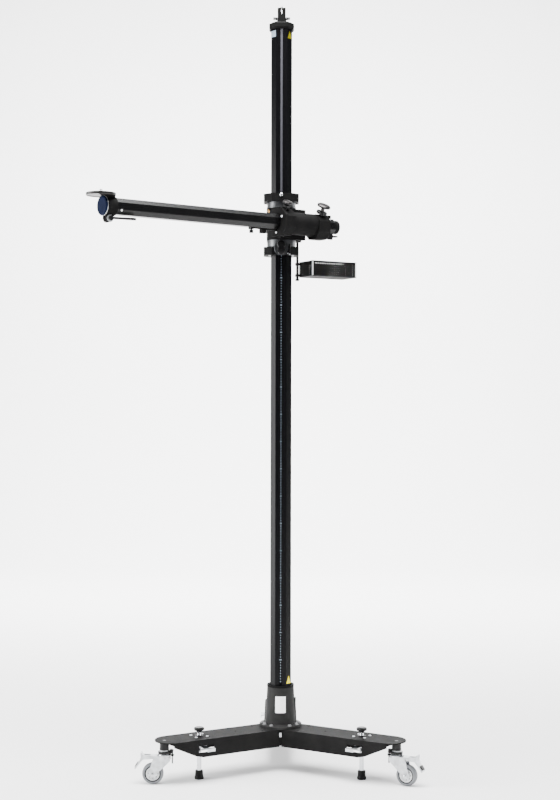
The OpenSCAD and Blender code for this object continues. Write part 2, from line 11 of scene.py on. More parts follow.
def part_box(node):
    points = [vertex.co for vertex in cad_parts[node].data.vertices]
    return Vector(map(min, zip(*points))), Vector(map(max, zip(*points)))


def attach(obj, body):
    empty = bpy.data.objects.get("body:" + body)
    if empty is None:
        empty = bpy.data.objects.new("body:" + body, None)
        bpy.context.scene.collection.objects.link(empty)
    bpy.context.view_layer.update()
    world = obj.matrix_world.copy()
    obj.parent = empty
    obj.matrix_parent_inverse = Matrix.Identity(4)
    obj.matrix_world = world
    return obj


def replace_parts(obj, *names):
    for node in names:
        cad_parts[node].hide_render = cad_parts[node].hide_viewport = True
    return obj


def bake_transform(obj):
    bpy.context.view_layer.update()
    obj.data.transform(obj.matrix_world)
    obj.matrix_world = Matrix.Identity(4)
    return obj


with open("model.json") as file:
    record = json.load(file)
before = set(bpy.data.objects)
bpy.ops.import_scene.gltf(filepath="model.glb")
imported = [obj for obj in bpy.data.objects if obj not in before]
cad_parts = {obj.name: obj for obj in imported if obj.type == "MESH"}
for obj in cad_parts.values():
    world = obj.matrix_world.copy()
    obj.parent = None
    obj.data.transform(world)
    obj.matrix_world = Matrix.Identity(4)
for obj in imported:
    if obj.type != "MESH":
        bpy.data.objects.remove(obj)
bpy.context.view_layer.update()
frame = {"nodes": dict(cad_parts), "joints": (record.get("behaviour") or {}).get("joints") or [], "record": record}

MM = 0.001
SIDES = ("left", "right", "rear")
JOINTS = {j["name"]: j for j in frame["joints"]}
UP = Vector((0, 0, 1))


# ---- Finishes ----

def node_tree(name):
    """A new material with its shader, its node tree and object coordinates."""
    mat = bpy.data.materials.new(name)
    mat.use_nodes = True
    tree = mat.node_tree
    coords = tree.nodes.new("ShaderNodeTexCoord").outputs["Object"]
    return mat, tree, tree.nodes["Principled BSDF"], coords


def noise(tree, coords, scale, detail=3.0, stretch=(1, 1, 1)):
    """Noise over the object, in cycles per metre, stretched along an axis where asked."""
    mapping = tree.nodes.new("ShaderNodeMapping")
    mapping.inputs["Scale"].default_value = stretch
    tree.links.new(coords, mapping.inputs["Vector"])
    texture = tree.nodes.new("ShaderNodeTexNoise")
    texture.inputs["Scale"].default_value = scale
    texture.inputs["Detail"].default_value = detail
    tree.links.new(mapping.outputs["Vector"], texture.inputs["Vector"])
    return texture.outputs["Fac"]


def ramp(tree, fac, low, high):
    """Two colours blended by a factor."""
    node = tree.nodes.new("ShaderNodeValToRGB")
    node.color_ramp.elements[0].position = 0.35
    node.color_ramp.elements[0].color = (*low, 1)
    node.color_ramp.elements[1].position = 0.65
    node.color_ramp.elements[1].color = (*high, 1)
    tree.links.new(fac, node.inputs["Fac"])
    return node.outputs["Color"]


def spread(tree, fac, low, high):
    """A factor mapped onto a range of numbers."""
    node = tree.nodes.new("ShaderNodeMapRange")
    node.inputs["From Min"].default_value = 0.3
    node.inputs["From Max"].default_value = 0.7
    node.inputs["To Min"].default_value = low
    node.inputs["To Max"].default_value = high
    tree.links.new(fac, node.inputs["Value"])
    return node.outputs["Result"]


def surface(name, low, high, rough, metallic=0.0, grain=900, bump=0.1, stretch=(1, 1, 1), blotch=14,
            specular=0.5):
    """A finish whose colour drifts between two tones, with fine grain in its bump and roughness."""
    mat, tree, shader, coords = node_tree(name)
    drift = noise(tree, coords, blotch, 4, stretch)
    fine = noise(tree, coords, grain, 2, stretch)
    tree.links.new(ramp(tree, drift, low, high), shader.inputs["Base Color"])
    tree.links.new(spread(tree, fine, *rough), shader.inputs["Roughness"])
    bumps = tree.nodes.new("ShaderNodeBump")
    bumps.inputs["Strength"].default_value = bump
    bumps.inputs["Distance"].default_value = 0.0004
    tree.links.new(fine, bumps.inputs["Height"])
    tree.links.new(bumps.outputs["Normal"], shader.inputs["Normal"])
    shader.inputs["Metallic"].default_value = metallic
    shader.inputs["Specular IOR Level"].default_value = specular
    return mat


POWDER = surface("powder_black", (0.0042, 0.0042, 0.0043), (0.0068, 0.0067, 0.0066), (0.58, 0.74), grain=700,
                 bump=0.35, specular=0.06)
CAST = surface("cast_grey", (0.0036, 0.0036, 0.0037), (0.0060, 0.0059, 0.0058), (0.60, 0.74), grain=520,
               bump=0.22, specular=0.04)
ANODISED = surface("anodised_black", (0.0010, 0.0010, 0.0014), (0.0018, 0.0018, 0.0023), (0.26, 0.34),
                   grain=1500, bump=0.03, stretch=(1, 1, 0.02), specular=0.09)
ARM_SKIN = surface("arm_anodised", (0.0010, 0.0010, 0.0011), (0.0016, 0.0016, 0.0018), (0.24, 0.32),
                   grain=900, bump=0.02, specular=0.22)
ZINC = surface("zinc_plate", (0.40, 0.41, 0.42), (0.56, 0.575, 0.59), (0.28, 0.42), metallic=0.75, grain=420,
               bump=0.05, blotch=60)
STEEL = surface("bright_steel", (0.50, 0.51, 0.53), (0.62, 0.63, 0.65), (0.16, 0.26), metallic=1.0,
                grain=1300, bump=0.03)
SATIN_STEEL = surface("satin_steel", (0.036, 0.034, 0.034), (0.054, 0.050, 0.050), (0.26, 0.36),
                      metallic=1.0, grain=900, bump=0.04)
SLEEVE_STEEL = surface("sleeve_steel", (0.065, 0.067, 0.070), (0.100, 0.103, 0.107), (0.34, 0.44),
                       metallic=1.0, grain=1300, bump=0.03)
PLAIN_STEEL = surface("plain_steel", (0.13, 0.13, 0.135), (0.20, 0.20, 0.205), (0.35, 0.5), metallic=0.8)
BAND = surface("lifting_band", (0.034, 0.034, 0.042), (0.048, 0.048, 0.058), (0.38, 0.46), metallic=0.3,
               grain=1600, bump=0.04, stretch=(1, 1, 0.05))
HOUSING = surface("housing_black", (0.0120, 0.0120, 0.0118), (0.0170, 0.0170, 0.0167), (0.52, 0.66),
                  grain=520, bump=0.25, specular=0.08)
RUBBER = surface("rubber_black", (0.003, 0.003, 0.003), (0.006, 0.006, 0.006), (0.55, 0.75), grain=1100,
                 bump=0.2, specular=0.15)
TYRE = surface("tyre_grey", (0.105, 0.110, 0.118), (0.150, 0.155, 0.163), (0.5, 0.68), grain=800,
               bump=0.15, blotch=40, specular=0.3)
HUB = surface("hub_white", (0.70, 0.71, 0.72), (0.80, 0.81, 0.82), (0.3, 0.42), grain=600, bump=0.05)
PLASTIC = surface("black_plastic", (0.0018, 0.0018, 0.0020), (0.0034, 0.0034, 0.0037), (0.32, 0.44),
                  grain=1000, bump=0.08, specular=0.2)
BLUE = surface("blue_cap", (0.0018, 0.0042, 0.0160), (0.0028, 0.0062, 0.0240), (0.5, 0.6), grain=700,
               bump=0.06, specular=0.03)
PLATE = surface("platform_metal", (0.020, 0.018, 0.017), (0.038, 0.035, 0.034), (0.34, 0.46), metallic=0.5,
                grain=900, bump=0.05)
RIM = surface("platform_rim", (0.010, 0.009, 0.0085), (0.018, 0.0165, 0.0160), (0.34, 0.44), metallic=0.6,
              grain=900, bump=0.03)
BRASS = surface("brass", (0.42, 0.26, 0.11), (0.56, 0.36, 0.17), (0.22, 0.34), metallic=1.0, grain=900,
                bump=0.05)
WHITE_LABEL = surface("white_label", (0.93, 0.93, 0.93), (0.96, 0.96, 0.96), (0.4, 0.5), grain=300, bump=0.02)
SILVER_LABEL = surface("silver_label", (0.19, 0.25, 0.30), (0.26, 0.32, 0.38), (0.3, 0.4), metallic=0.2,
                       bump=0.02)
YELLOW = surface("yellow_label", (0.74, 0.62, 0.0), (0.84, 0.70, 0.0), (0.4, 0.5), grain=300, bump=0.02,
                 specular=0.1)
# A darker copy of the yellow label: painted shade on the upper triangle, where less light falls high on the
# column's right side.
SHADED_YELLOW = surface("shaded_yellow_label", (0.095, 0.085, 0.0), (0.135, 0.12, 0.0), (0.4, 0.5), grain=300,
                bump=0.02, specular=0.1)
DARK = surface("dark_recess", (0.002, 0.002, 0.002), (0.004, 0.004, 0.004), (0.6, 0.8), specular=0.1)

BY_SLOT = {"powder_black": POWDER, "cast_grey": CAST, "anodised_black": ANODISED, "zinc": ZINC,
           "bright_steel": STEEL, "plain_steel": PLAIN_STEEL, "band": BAND, "rubber": RUBBER, "tyre": TYRE,
           "hub_white": HUB, "black_plastic": PLASTIC, "acetal": PLASTIC, "blue_cap": BLUE,
           "platform_metal": PLATE}
BY_NODE = {"arm_tube": ARM_SKIN, "head_knob": PLASTIC, "rear_knob": PLASTIC, "column_housing": HOUSING,
           "carriage_sleeve": SLEEVE_STEEL}


def dress_cad_nodes():
    """Gives every CAD node the finish of its slot in the record, or its own."""
    for part in frame["record"]["subparts"]:
        node = part["node"]
        finish = BY_NODE.get(node, BY_SLOT[part["material_slot"]])
        holder = frame["nodes"][node]
        if not holder.material_slots:
            holder.data.materials.append(finish)
        for place in holder.material_slots:
            place.material = finish


dress_cad_nodes()


# ---- Making pieces ----

def to_piece(bm, name, finish, body, frame_matrix=None, sharp=34):
    """Turns a bmesh in millimetres into a shaded piece, which rides on a body if one is named."""
    bmesh.ops.recalc_face_normals(bm, faces=bm.faces)
    limit = math.radians(sharp)
    for face in bm.faces:
        face.smooth = True
    for edge in bm.edges:
        edge.smooth = len(edge.link_faces) == 2 and edge.calc_face_angle(0) < limit
    bm.transform(Matrix.Scale(MM, 4))
    if frame_matrix is not None:
        bm.transform(frame_matrix)
        if frame_matrix.determinant() < 0:
            bmesh.ops.reverse_faces(bm, faces=bm.faces)
    mesh = bpy.data.meshes.new(name)
    bm.to_mesh(mesh)
    bm.free()
    mesh.materials.append(finish)
    obj = bpy.data.objects.new(name, mesh)
    bpy.context.collection.objects.link(obj)
    if body:
        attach(obj, body)
    return obj


def lathe(bm, profile, centre=(0, 0, 0), steps=40, waist=None):
    """Adds a turned solid about +Z. waist(angle, radius) scales the radius, for lobes and knurls."""
    rings = []
    for r, z in profile:
        if r < 1e-6:
            rings.append([bm.verts.new((centre[0], centre[1], centre[2] + z))])
            continue
        ring = []
        for k in range(steps):
            a = 2 * math.pi * k / steps
            q = r * (waist(a, r) if waist else 1)
            ring.append(bm.verts.new((centre[0] + q * math.cos(a), centre[1] + q * math.sin(a),
                                      centre[2] + z)))
        rings.append(ring)
    for low, high in zip(rings, rings[1:]):
        for k in range(steps):
            m = (k + 1) % steps
            if len(low) == 1 and len(high) > 1:
                bm.faces.new((low[0], high[k], high[m]))
            elif len(high) == 1 and len(low) > 1:
                bm.faces.new((low[k], low[m], high[0]))
            elif len(low) > 1:
                bm.faces.new((low[k], low[m], high[m], high[k]))


def prism(bm, outline, low, high, bevel=0.0):
    """Adds an extruded outline between two heights, with its edges bevelled."""
    bottom = [bm.verts.new((x, y, low)) for x, y in outline]
    top = [bm.verts.new((x, y, high)) for x, y in outline]
    faces = [bm.faces.new(list(reversed(bottom))), bm.faces.new(top)]
    for k in range(len(outline)):
        m = (k + 1) % len(outline)
        faces.append(bm.faces.new((bottom[k], bottom[m], top[m], top[k])))
    if bevel:
        edges = {e for f in faces for e in f.edges}
        bmesh.ops.bevel(bm, geom=list(edges), offset=bevel, segments=2, affect="EDGES", profile=0.6)


def block(bm, low, high, bevel=0.6):
    """Adds a box with softened edges, bevelled on its own so that its faces keep one order in every run."""
    outline = [(low[0], low[1]), (high[0], low[1]), (high[0], high[1]), (low[0], high[1])]
    added(bm, Matrix.Identity(4), prism, outline, low[2], high[2], bevel)


def added(bm, matrix, make, *args, **kwargs):
    """Adds a shape to bm, put in place with a matrix in millimetres."""
    part = bmesh.new()
    make(part, *args, **kwargs)
    part.transform(matrix)
    mesh = bpy.data.meshes.new("part")
    part.to_mesh(mesh)
    part.free()
    bm.from_mesh(mesh)
    bpy.data.meshes.remove(mesh)


def shift(x, y=0.0, z=0.0):
    return Matrix.Translation((x, y, z))


def spin(degrees, axis):
    return Matrix.Rotation(math.radians(degrees), 4, axis)


def axes(x, y, z, origin):
    """The matrix of a frame with these axes, its origin in metres."""
    m = Matrix.Identity(4)
    for col, axis in enumerate((x, y, z)):
        for row in range(3):
            m[row][col] = axis[row]
    for row in range(3):
        m[row][3] = origin[row]
    return m


def hexagon(size):
    r = size / math.sqrt(3)
    return [(r * math.cos(math.radians(60 * k)), r * math.sin(math.radians(60 * k))) for k in range(6)]


def ring_of(radius, count):
    """The points of a ring of places."""
    for k in range(count):
        a = math.radians(360 * k / count)
        yield radius * math.cos(a), radius * math.sin(a)


def socket_screw(bm, radius, height):
    """A cap screw head standing on z = 0, with a hexagon socket."""
    inner = radius * 0.5
    steps = 24
    rings = [(radius, 0), (radius, height - 0.5), (radius - 0.5, height), (inner * 1.25, height)]
    lathe(bm, [(0, 0)] + rings, steps=steps)
    rim = [v for v in bm.verts][-steps:]
    low = [bm.verts.new((inner * math.cos(math.radians(60 * (k // 4))),
                         inner * math.sin(math.radians(60 * (k // 4))), height - 1.6))
           for k in range(0, steps, 4)]
    mid = [bm.verts.new((v.co.x, v.co.y, height)) for v in low]
    for k in range(6):
        n = (k + 1) % 6
        fan = [rim[(4 * k + j) % steps] for j in range(5)]
        bm.faces.new([mid[n], mid[k]] + fan)
        bm.faces.new((mid[k], mid[n], low[n], low[k]))
    bm.faces.new(low)


def pan_screw(bm, radius, height):
    """A domed screw head with a round recess in it."""
    lathe(bm, [(0, 0), (radius, 0), (radius, height * 0.35), (radius * 0.8, height * 0.8),
               (radius * 0.35, height), (radius * 0.3, height * 0.6), (0, height * 0.55)], steps=20)


CAMERA_SCREW_R, CAMERA_SCREW_PITCH = 4.76, 1.59     # 3/8 inch


def threaded(bm, radius, low, high, pitch, depth, steps=24):
    """A round rod whose surface carries a helical thread, with chamfered ends."""
    rows = max(4, round((high - low) / (pitch / 6)))
    rings = []
    for i in range(rows + 1):
        z = low + (high - low) * i / rows
        ends = min(1.0, min(z - low, high - z) / pitch)
        ring = []
        for k in range(steps):
            phase = (z / pitch - k / steps) % 1
            r = radius - depth * (1 - abs(2 * phase - 1)) * ends - depth * (1 - ends)
            a = 2 * math.pi * k / steps
            ring.append(bm.verts.new((r * math.cos(a), r * math.sin(a), z)))
        rings.append(ring)
    for lo, hi in zip(rings, rings[1:]):
        for k in range(steps):
            m = (k + 1) % steps
            bm.faces.new((lo[k], lo[m], hi[m], hi[k]))
    bm.faces.new(list(reversed(rings[0])))
    bm.faces.new(rings[-1])


# ---- Frames of the assembly ----

def swivel(side):
    return Vector(JOINTS["caster_swivel_" + side]["pos_m"])


def leg_frame(side, reach=0.0):
    """X runs out along a leg, at a distance from the column in millimetres."""
    out = Vector((swivel(side).x, swivel(side).y, 0)).normalized()
    return axes(out, UP.cross(out), UP, out * reach * MM)


def foot_frame(side):
    low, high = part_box("foot_rubber_" + side)
    reach = Vector(((low[0] + high[0]) / 2, (low[1] + high[1]) / 2, 0)).length
    return leg_frame(side, reach / MM)


def caster_frame(side):
    """X runs from the swivel towards the wheel's axle."""
    start = swivel(side)
    to_axle = Vector(JOINTS["wheel_spin_" + side]["pos_m"]) - start
    out = Vector((to_axle.x, to_axle.y, 0)).normalized()
    return axes(out, UP.cross(out), UP, (start.x, start.y, 0))


ARM_DIR = Vector(JOINTS["arm_slide"]["axis"]).normalized()
ARM_SIDE = UP.cross(ARM_DIR)
ROLL = Vector(JOINTS["platform_roll"]["pos_m"])


def arm_frame(s=0.0, n=0.0, z=0.0):
    """X along the arm, Y away from the column, Z up, at a place given from the point nearest the column."""
    start = ROLL - ARM_DIR * ROLL.dot(ARM_DIR)
    return axes(ARM_DIR, ARM_SIDE, UP, start + (ARM_DIR * s + ARM_SIDE * n + UP * z) * MM)


ALONG_X = spin(90, "Y")     # turns a shape's +Z to +X
FACING_FRONT = spin(90, "X")    # turns a shape's +Z to -Y


# ---- Base ----

LEG_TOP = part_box("base_legs")[1][2] / MM
FLANGE_TOP = LEG_TOP + 10
BOLT_RING = 67
BOLT_FAN = (-30, 0, 30)


def flange_screws():
    bm = bmesh.new()
    for side in SIDES:
        heading = math.degrees(math.atan2(swivel(side).y, swivel(side).x))
        for turn in BOLT_FAN:
            a = math.radians(heading + turn)
            place = shift(BOLT_RING * math.cos(a), BOLT_RING * math.sin(a), FLANGE_TOP)
            added(bm, place, lathe, [(0, 0), (7.4, 0), (7.4, 1), (6.9, 1.4), (0, 1.4)], steps=24)
            added(bm, place @ shift(0, 0, 1.3), socket_screw, 5.8, 4.2)
    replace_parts(to_piece(bm, "flange_screws", PLAIN_STEEL, "base"), "flange_bolts")


def foot_trim(side):
    """Knob and rod of one levelling foot, and the trim round it on the leg."""
    here = foot_frame(side)
    body = "foot_" + side
    rod = bmesh.new()
    lathe(rod, [(0, 14), (8, 14), (8, 160), (7.2, 163), (5.2, 164), (5.2, 172), (0, 172)], steps=36)
    rod_piece = to_piece(rod, "foot_rod_" + side, STEEL, body, here)
    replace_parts(rod_piece, "foot_spindle_" + side)
    knob = bmesh.new()

    def grip(angle, r):
        return 1 + (0.022 * math.cos(18 * angle) if r > 16 else 0)

    lathe(knob, [(0, 167.5), (8.5, 167.5), (9, 169), (12, 171.5), (17.2, 174), (18.3, 176), (18.3, 180),
                 (17, 183), (13, 184.6), (12, 184.2), (0, 184.8)], steps=144, waist=grip)
    to_piece(knob, "foot_knob_" + side, PLASTIC, body, here)
    bush = bmesh.new()
    lathe(bush, [(8.8, LEG_TOP - 2), (8.8, LEG_TOP + 3), (12, LEG_TOP + 3), (14, LEG_TOP + 2),
                 (14.5, LEG_TOP), (14.5, LEG_TOP - 2)], steps=32)
    to_piece(bush, "foot_bush_" + side, PLASTIC, "base", here)
    screws = bmesh.new()
    for x in (-22, 22):
        for y in (-21, 21):
            added(screws, shift(x, y, LEG_TOP - 0.4), pan_screw, 5.2, 3.2)
    to_piece(screws, "foot_screws_" + side, ZINC, "base", here)
    ribs = bmesh.new()
    for low in (14.5, 19.5, 24.5):
        lathe(ribs, [(13.2, low), (14.3, low + 0.6), (14.3, low + 2.4), (13.2, low + 3)], steps=36)
    to_piece(ribs, "foot_ribs_" + side, RUBBER, body, here)


def leg_trim():
    """Small dark screws along each leg's top."""
    bm = bmesh.new()
    for side in SIDES:
        for reach, across in ((188, 0), (98, 40), (98, -40)):
            frame_mm = leg_frame(side, reach)
            frame_mm.translation /= MM
            added(bm, frame_mm @ shift(0, across, LEG_TOP - 0.5), pan_screw, 4.0, 1.6)
    to_piece(bm, "leg_screws", DARK, "base")


CONE_LOW, CONE_HIGH = (55.5, 167.0), (49.5, 291.0)      # radius and height of the housing's cone


def cone_radius(z):
    share = (z - CONE_LOW[1]) / (CONE_HIGH[1] - CONE_LOW[1])
    return CONE_LOW[0] + (CONE_HIGH[0] - CONE_LOW[0]) * share


def housing_label():
    """A blank label that follows the housing's front."""
    bm = bmesh.new()
    low, high, half, lift = 209.5, 268.5, 19.3, 0.25
    columns, rows = 16, 6
    layers = []
    for thick in (0.05, 0.05 + lift):
        grid = []
        for i in range(rows + 1):
            z = low + (high - low) * i / rows
            r = cone_radius(z) + thick
            turn = half / r
            grid.append([bm.verts.new((r * math.sin(turn * (2 * k / columns - 1)),
                                       -r * math.cos(turn * (2 * k / columns - 1)), z))
                         for k in range(columns + 1)])
        layers.append(grid)
    for grid in layers:
        for i in range(rows):
            for k in range(columns):
                bm.faces.new((grid[i][k], grid[i][k + 1], grid[i + 1][k + 1], grid[i + 1][k]))
    inner, outer = layers
    for i in range(rows):
        bm.faces.new((inner[i][0], inner[i + 1][0], outer[i + 1][0], outer[i][0]))
        bm.faces.new((inner[i][-1], outer[i][-1], outer[i + 1][-1], inner[i + 1][-1]))
    for k in range(columns):
        bm.faces.new((inner[0][k], outer[0][k], outer[0][k + 1], inner[0][k + 1]))
        bm.faces.new((inner[-1][k], inner[-1][k + 1], outer[-1][k + 1], outer[-1][k]))
    to_piece(bm, "housing_label", WHITE_LABEL, "base")


def housing_trim():
    screw = bmesh.new()
    added(screw, shift(48, 0, 235) @ ALONG_X, socket_screw, 4.9, 7)
    to_piece(screw, "brake_screw", PLAIN_STEEL, "base")
    lip = bmesh.new()
    lathe(lip, [(46.8, 304.6), (46.8, 306.4), (48.6, 306.4), (49.6, 305.2), (49.9, 299.5), (49.3, 298.5),
                (49.1, 304.0)], steps=64)
    to_piece(lip, "housing_lip", CAST, "base")


def base():
    flange_screws()
    leg_trim()
    housing_label()
    housing_trim()
    for side in SIDES:
        foot_trim(side)


# ---- Casters ----

def caster_clamp(side, here, fork):
    """The clamp ring round the swivel, with its knob and the adjusting screw."""
    clamp = bmesh.new()
    lathe(clamp, [(18.2, 107), (21, 107), (22, 108), (22, 115), (21, 116), (18.2, 116)], steps=40)
    block(clamp, (-31, -6.5, 107.5), (-20.5, 6.5, 115.5), 1.2)
    lathe(clamp, [(0, 115), (6.5, 115), (7, 116), (7, 120.5), (6, 121.5), (0, 121.5)], (-25.4, 0, 0), 24,
          lambda a, r: 1 + (0.05 * math.cos(8 * a) if r > 6.2 else 0))
    lathe(clamp, [(0, 98), (5.6, 98), (6, 99), (6, 103), (5.6, 104), (0, 104)], (-28.6, 0, 0), 24)
    to_piece(clamp, "caster_clamp_" + side, PLASTIC, fork, here)
    screw = bmesh.new()
    added(screw, shift(-28.6, 0, 0), threaded, 2.8, 72, 108, 2.0, 0.45, 16)
    to_piece(screw, "caster_adjuster_" + side, PLAIN_STEEL, fork, here)


def caster_race(side, here, fork):
    race = bmesh.new()
    lathe(race, [(18.1, 103), (23.6, 103), (24.4, 104), (23.6, 105.4), (18.1, 105.6)], steps=48)
    lathe(race, [(6.1, 119.6), (13, 119.6), (13, 119.95), (6.1, 119.95)], steps=32)
    to_piece(race, "caster_race_" + side, STEEL, fork, here)


def wheel_trim(side, here, fork):
    """Caps on the axle's ends, and rivets and a bead on both faces of the wheel."""
    wheel = "wheel_" + side
    axle = Vector(JOINTS["wheel_spin_" + side]["pos_m"])
    trail = ((axle - swivel(side)).to_2d()).length / MM
    caps = bmesh.new()
    rivets = bmesh.new()
    beads = bmesh.new()
    at_axle = shift(trail, 0, axle.z / MM)
    for face in (-1, 1):
        outward = at_axle @ spin(-90 * face, "X")
        added(caps, outward @ shift(0, 0, 20.9), lathe, [(0, 0), (5, 0), (4.6, 1.6), (3, 2.6), (0, 3)],
              steps=24)
        added(beads, outward, lathe, [(23.6, 10.9), (24, 11.6), (26.5, 12.2), (28, 11.9), (28.4, 10.9)],
              steps=48)
        for x, y in ring_of(16, 8):
            added(rivets, outward @ shift(x, y, 4.9), lathe, [(0, 0), (2.3, 0), (1.9, 0.9), (0, 1.1)],
                  steps=12)
    to_piece(caps, "axle_caps_" + side, STEEL, fork, here)
    to_piece(rivets, "hub_rivets_" + side, PLAIN_STEEL, wheel, here)
    to_piece(beads, "tyre_bead_" + side, RUBBER, wheel, here)


def pedal_pad(side, here):
    pad = bmesh.new()
    added(pad, shift(97, 0, 68.6) @ spin(55.5, "Y"), block, (-9, -12, 0), (9, 12, 2.2), 0.8)
    to_piece(pad, "pedal_pad_" + side, PLASTIC, "pedal_" + side, here)


def caster_trim(side):
    here = caster_frame(side)
    fork = "caster_" + side
    caster_clamp(side, here, fork)
    caster_race(side, here, fork)
    wheel_trim(side, here, fork)
    pedal_pad(side, here)


def sleeves():
    """Grooved rings round each caster's spacer sleeve."""
    bm = bmesh.new()
    for side in SIDES:
        x, y = swivel(side).x / MM, swivel(side).y / MM
        for z in (122, 143):
            lathe(bm, [(16.3, z), (17.2, z + 0.6), (17.2, z + 3.4), (16.3, z + 4)], (x, y, 0), 40)
    to_piece(bm, "sleeve_rings", PLASTIC, "base")


def casters():
    sleeves()
    for side in SIDES:
        caster_trim(side)


# ---- Column and its top ----

COLUMN_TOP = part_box("column_extrusion")[1][2] / MM
SOCKET_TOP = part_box("top_socket")[1][2] / MM
HALF_COLUMN = -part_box("column_extrusion")[0][1] / MM
GROOVE_DEPTH = 7
PULLEY = JOINTS["pulley_turn"]["pos_m"]
PULLEY_R = 15.5
ANCHOR_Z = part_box("band_front")[0][2] / MM
WEIGHT_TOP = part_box("counterweight")[1][2] / MM
# Frames on the column's two front chamfers: X across the chamfer, Y out of it, Z up
CHAMFER_LEG = 17.8
CHAMFER = HALF_COLUMN - CHAMFER_LEG / 2
LEFT_CHAMFER = axes(Vector((1, -1, 0)) / math.sqrt(2), Vector((-1, -1, 0)) / math.sqrt(2), UP,
                    (-CHAMFER * MM, -CHAMFER * MM, 0))
RIGHT_CHAMFER = axes(Vector((1, 1, 0)) / math.sqrt(2), Vector((1, -1, 0)) / math.sqrt(2), UP,
                     (CHAMFER * MM, -CHAMFER * MM, 0))
# Turns an outline drawn in x and y upright, so that it stands in X and Z and faces +Y
UPRIGHT = Matrix(((1, 0, 0, 0), (0, 0, 1, 0), (0, 1, 0, 0), (0, 0, 0, 1)))
LABEL_SKIN = (0.02, 0.32)       # how far a label's back and face stand off the chamfer


def scale_strip():
    """The graduated strip on the floor of the column's groove."""
    back = -HALF_COLUMN + GROOVE_DEPTH
    strip = bmesh.new()
    block(strip, (-4.6, back - 0.3, 310), (4.6, back - 0.02, COLUMN_TOP - 24), 0.1)
    to_piece(strip, "scale_strip", ANODISED, "column")
    marks = bmesh.new()
    for step in range(32, 269):
        half = 3.8 if step % 10 == 0 else 1.7
        block(marks, (-half, back - 0.42, 10 * step - 1.7), (half, back - 0.25, 10 * step + 1.7), 0)
    to_piece(marks, "scale_marks", SILVER_LABEL, "column")


def band_mesh(low, high, front, back):
    """One straight stretch of the lifting band, cut into rows so that it can lengthen."""
    bm = bmesh.new()
    rows = max(2, round((high - low) / 25))
    rings = []
    for i in range(rows + 1):
        z = low + (high - low) * i / rows
        rings.append([bm.verts.new((x, y, z)) for x, y in ((-4, front), (4, front), (4, back), (-4, back))])
    for lo, hi in zip(rings, rings[1:]):
        for k in range(4):
            m = (k + 1) % 4
            bm.faces.new((lo[k], lo[m], hi[m], hi[k]))
    bm.faces.new(list(reversed(rings[0])))
    bm.faces.new(rings[-1])
    return bm


def bands():
    """The lifting band's two straight runs up to the pulley, on the carriage's side and on the counterweight's."""
    y = PULLEY[1] / MM
    pulley_z = PULLEY[2] / MM
    reach = PULLEY_R + 0.3
    outer_mesh = band_mesh(ANCHOR_Z, pulley_z, y - reach - 1, y - reach)
    outer = to_piece(outer_mesh, "band_outer_run", BAND, None)
    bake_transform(outer)
    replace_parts(outer, "band_front")
    inner_mesh = band_mesh(WEIGHT_TOP, pulley_z, y + reach, y + reach + 1)
    inner = to_piece(inner_mesh, "band_inner_run", BAND, None)
    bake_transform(inner)
    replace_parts(inner, "band_inner")


def column_labels():
    plate = bmesh.new()
    half, low, high = 11.6, 2683, 2706
    added(plate, UPRIGHT, prism, [(-half, low), (half, low), (half, high), (-half, high)], *LABEL_SKIN, 0.1)
    to_piece(plate, "column_label", SILVER_LABEL, "column", LEFT_CHAMFER)
    # The upper triangle takes the darker copy of the yellow as painted shade; the lower one takes the plain
    # yellow.
    for name, finish, low in (("upper_triangle", SHADED_YELLOW, 2677), ("lower_triangle", YELLOW, 313)):
        sign = bmesh.new()
        added(sign, UPRIGHT, prism, [(-11, low), (11, low), (0, low + 28)], *LABEL_SKIN, 0.08)
        to_piece(sign, name, finish, "column", RIGHT_CHAMFER)


def column():
    scale_strip()
    bands()
    column_labels()


def top():
    stud = bmesh.new()
    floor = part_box("top_stud")[0][2] / MM
    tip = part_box("top_stud")[1][2] / MM
    lathe(stud, [(0, floor), (7.9, floor), (7.9, floor + 24), (6.9, floor + 26), (0, floor + 26)], steps=40)
    threaded(stud, CAMERA_SCREW_R, floor + 25.5, tip, CAMERA_SCREW_PITCH, 0.8)
    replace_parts(to_piece(stud, "top_spigot", STEEL, "column"), "top_stud")
    rim = bmesh.new()
    lathe(rim, [(8.4, SOCKET_TOP), (8.4, SOCKET_TOP + 1.2), (11.2, SOCKET_TOP + 1.2), (12.2, SOCKET_TOP)],
          steps=40)
    to_piece(rim, "socket_lip", CAST, "column")
    knurls = bmesh.new()
    wing_z = JOINTS["wing_turn_left"]["pos_m"][2] / MM
    for side in (-1, 1):
        added(knurls, shift(side * 15.5, 0, wing_z) @ spin(90 * side, "Y"), lathe,
              [(3.2, 0), (6.2, 0), (6.2, 1.2), (5.2, 1.6), (3.2, 1.6)], steps=36)
    to_piece(knurls, "wing_washers", PLAIN_STEEL, "column")


# ---- Carriage ----

LOCK_Z = JOINTS["column_lock_turn"]["pos_m"][2] / MM
COLLAR_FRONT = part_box("lower_collar")[0][1] / MM
DRUM_LOW, DRUM_HIGH = (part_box("turret_drum")[k][2] / MM for k in (0, 1))


def column_lock():
    """The lobed knob that locks the column, on its washer."""
    facing = shift(0, COLLAR_FRONT, LOCK_Z) @ FACING_FRONT

    def lobes(angle, r):
        return 0.46 + 0.54 * abs(math.sin(angle)) ** 1.6 if r > 11 else 1

    knob = bmesh.new()
    added(knob, facing, lathe, [(0, -25), (5, -25), (5, 2.5), (9.5, 2.6), (9.8, 8), (23, 8.4), (25.2, 10),
                                (25.8, 12.5), (25.8, 23), (24.6, 26.4), (21, 27.8), (9, 27.8), (8.4, 26.6),
                                (0, 26.6)], steps=96, waist=lobes)
    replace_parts(to_piece(knob, "column_lock_grip", PLASTIC, "column_lock"),
                "column_lock_knob")
    washer = bmesh.new()
    added(washer, facing, lathe, [(9.9, 0.3), (25.6, 0.3), (26, 0.8), (26, 2.2), (25.4, 2.8), (9.9, 2.8)],
          steps=64)
    to_piece(washer, "column_lock_washer", SLEEVE_STEEL, "column_lock")


